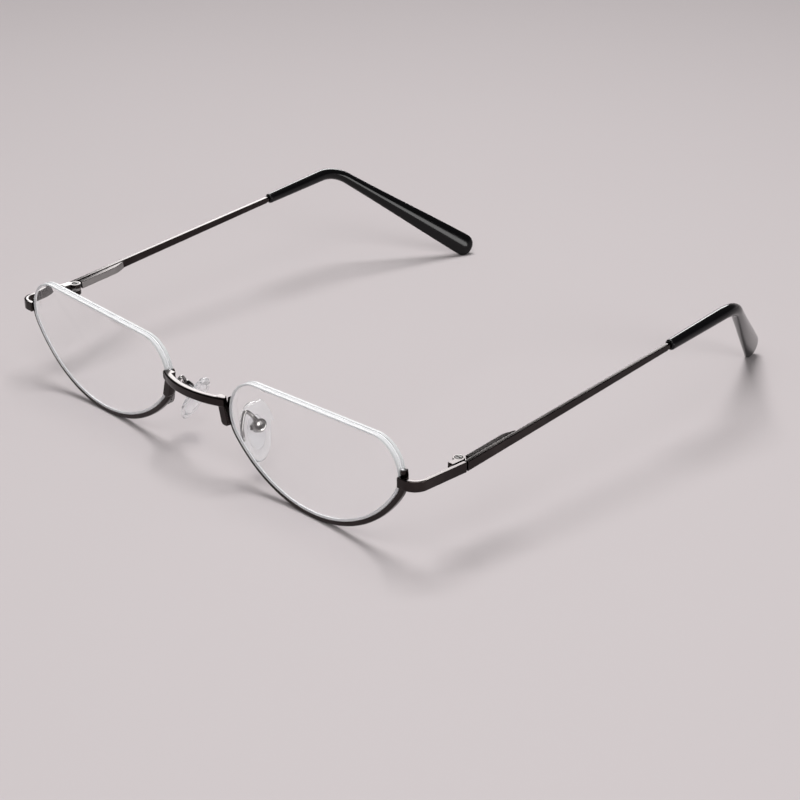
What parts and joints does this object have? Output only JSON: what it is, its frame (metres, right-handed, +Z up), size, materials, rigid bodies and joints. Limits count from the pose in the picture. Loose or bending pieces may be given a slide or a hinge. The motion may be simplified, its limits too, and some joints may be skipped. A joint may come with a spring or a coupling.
{
  "type": "half-moon reading glasses",
  "caption": "Half-moon reading glasses: clear lenses in half rims, a bowed metal bridge, nose pads on wire arms, and folding temples on spring hinges with curved black tips.",
  "frame": {"origin": "middle of the footprint, on the surface that the open glasses stand on", "axes": "+Z up, the lenses face -Y and the temples run back along +Y, +X to the right as seen from in front"},
  "size_m": [0.133, 0.1362, 0.0282],
  "materials": {
    "gunmetal": "glossy dark gunmetal plating",
    "steel": "bright steel",
    "lens_plastic": "clear polished lens plastic",
    "nylon": "clear nylon",
    "silicone": "clear silicone",
    "black_acetate": "glossy black"
  },
  "bodies": {
    "front": {"bridge": "gunmetal", "lens_right": "lens_plastic", "lens_left": "lens_plastic", "rim_right": "gunmetal", "rim_left": "gunmetal", "rim_liner_right": "nylon", "rim_liner_left": "nylon", "lens_thread_right": "nylon", "lens_thread_left": "nylon", "pad_arm_right": "steel", "pad_arm_left": "steel", "pad_box_right": "steel", "pad_box_left": "steel", "pad_screw_right": "steel", "pad_screw_left": "steel", "endpiece_right": "gunmetal", "endpiece_left": "gunmetal", "hinge_fork_right": "gunmetal", "hinge_fork_left": "gunmetal", "hinge_screw_right": "steel", "hinge_screw_left": "steel"},
    "slider_right": {"hinge_slider_right": "steel"},
    "slider_left": {"hinge_slider_left": "steel"},
    "arm_right": {"temple_right": "gunmetal", "temple_tip_right": "black_acetate", "hinge_housing_right": "gunmetal", "hinge_spring_right": "steel", "spring_stop_right": "steel"},
    "arm_left": {"temple_left": "gunmetal", "temple_tip_left": "black_acetate", "hinge_housing_left": "gunmetal", "hinge_spring_left": "steel", "spring_stop_left": "steel"},
    "pad_right": {"nose_pad_right": "silicone", "pad_insert_right": "nylon"},
    "pad_left": {"nose_pad_left": "silicone", "pad_insert_left": "nylon"}
  },
  "joints": [
    {"name": "fold_right", "type": "hinge", "parent": "front", "child": "slider_right", "pos_m": [0.0632, -0.05043, 0.018], "axis": [0, 0, 1], "range_deg": [-8, 87]},
    {"name": "fold_left", "type": "hinge", "parent": "front", "child": "slider_left", "pos_m": [-0.0632, -0.05043, 0.018], "axis": [0, 0, -1], "range_deg": [-8, 80]},
    {"name": "spring_right", "type": "slide", "parent": "slider_right", "child": "arm_right", "axis": [0, 0.994, 0.1097], "range_m": [0, 0.001], "stiffness_N_per_m": 800, "springref_m": -0.002, "deforming": ["hinge_spring_right"]},
    {"name": "spring_left", "type": "slide", "parent": "slider_left", "child": "arm_left", "axis": [0, 0.994, 0.1097], "range_m": [0, 0.001], "stiffness_N_per_m": 800, "springref_m": -0.002, "deforming": ["hinge_spring_left"]},
    {"name": "pad_rock_right", "type": "hinge", "parent": "front", "child": "pad_right", "pos_m": [0.01289, -0.05719, 0.0111], "axis": [0.3322, 0.9432, 0], "range_deg": [-12, 12]},
    {"name": "pad_rock_left", "type": "hinge", "parent": "front", "child": "pad_left", "pos_m": [-0.01289, -0.05719, 0.0111], "axis": [-0.3322, 0.9432, 0], "range_deg": [-12, 12]}
  ]
}
